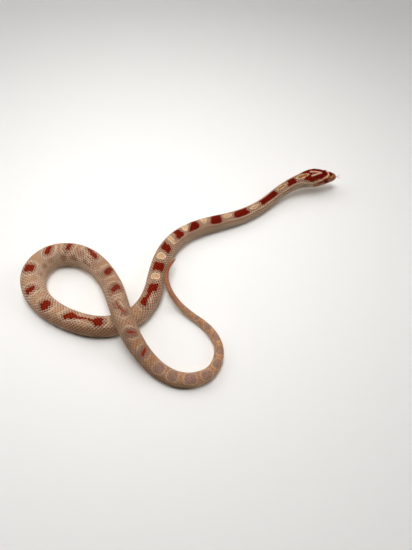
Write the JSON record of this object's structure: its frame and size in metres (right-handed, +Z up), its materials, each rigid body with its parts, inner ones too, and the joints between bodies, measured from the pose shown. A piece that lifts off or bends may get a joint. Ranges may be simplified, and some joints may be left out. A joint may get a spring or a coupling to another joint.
{
  "type": "corn snake figure",
  "caption": "Still, life-size figure of a slender young corn snake, head raised and forked tongue out, its hind body looped over its fore body and its tail leaning on its flank.",
  "frame": {"origin": "on the floor, under the middle of the animal's outer box", "axes": "+Z up from the floor, +X from the loop of the body towards the head, +Y towards the side that the head is raised on"},
  "size_m": [0.2028, 0.1534, 0.0194],
  "materials": {
    "skin_front": "scaled satin",
    "skin_hind": "scaled satin",
    "skin_tail": "scaled satin",
    "head_shields": "smooth shields, satin",
    "eye_glass": "wet gloss",
    "tongue_skin": "moist satin"
  },
  "bodies": {
    "root": {"head": "head_shields", "lower_jaw": "skin_front", "eye_left": "eye_glass", "eye_right": "eye_glass", "tongue": "tongue_skin", "neck": "skin_front", "fore_body_1": "skin_front", "fore_body_2": "skin_front", "fore_body_3": "skin_front", "mid_body_1": "skin_front", "mid_body_2": "skin_front", "mid_body_3": "skin_front", "hind_body_1": "skin_hind", "hind_body_2": "skin_hind", "hind_body_3": "skin_hind", "hind_body_4": "skin_hind", "tail_1": "skin_tail", "tail_2": "skin_tail", "tail_3": "skin_tail"}
  },
  "joints": []
}
